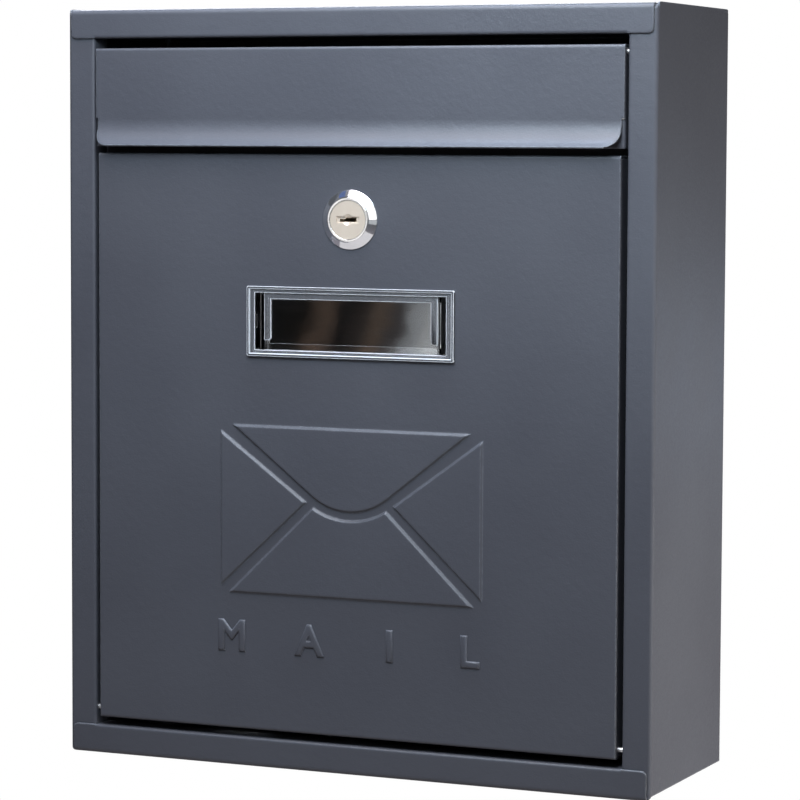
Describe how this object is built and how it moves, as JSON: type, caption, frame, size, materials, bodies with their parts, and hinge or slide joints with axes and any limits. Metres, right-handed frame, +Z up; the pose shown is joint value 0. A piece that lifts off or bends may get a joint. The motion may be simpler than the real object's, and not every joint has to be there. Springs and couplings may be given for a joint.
{
  "type": "wall mounted post box",
  "caption": "Wall mounted post box of folded sheet steel with a curled letter flap, a drop-down locking door, a clear name window and a pressed envelope.",
  "frame": {"origin": "middle of the four wall holes, on the back face that lies against the wall", "axes": "+X to the right seen from the front, +Y into the wall, +Z up; the door faces -Y"},
  "size_m": [0.3, 0.1066, 0.36],
  "materials": {
    "coat": "fine matt anthracite powder coat",
    "zinc": "bright zinc plating",
    "chrome": "polished",
    "nickel": "satin nickel plating",
    "brass": "stamped",
    "clear": "clear moulded plastic"
  },
  "bodies": {
    "casing": {"casing_wrap": "coat", "top_cap": "coat", "bottom_cap": "coat", "cross_rail": "coat", "flap_hinge_pin_left": "zinc", "flap_hinge_pin_right": "zinc", "door_hinge_pin_left": "zinc", "door_hinge_pin_right": "zinc"},
    "flap": {"letter_flap": "coat"},
    "door": {"door": "coat", "name_window": "clear", "lock_housing": "chrome", "lock_washer": "zinc", "lock_nut": "zinc"},
    "plug": {"lock_plug": "nickel", "lock_wafers": "brass", "stop_washer": "zinc", "lock_cam": "zinc", "cam_spring_washer": "zinc", "cam_screw": "zinc"}
  },
  "joints": [
    {"name": "flap_hinge", "type": "hinge", "parent": "casing", "child": "flap", "pos_m": [0, -0.0959, 0.158], "axis": [-1, 0, 0], "range_deg": [0, 110]},
    {"name": "door_hinge", "type": "hinge", "parent": "casing", "child": "door", "pos_m": [0, -0.0959, -0.1578], "axis": [1, 0, 0], "range_deg": [0, 120]},
    {"name": "lock_turn", "type": "hinge", "parent": "door", "child": "plug", "pos_m": [0, -0.1, 0.0811], "axis": [0, -1, 0], "range_deg": [0, 90]}
  ]
}
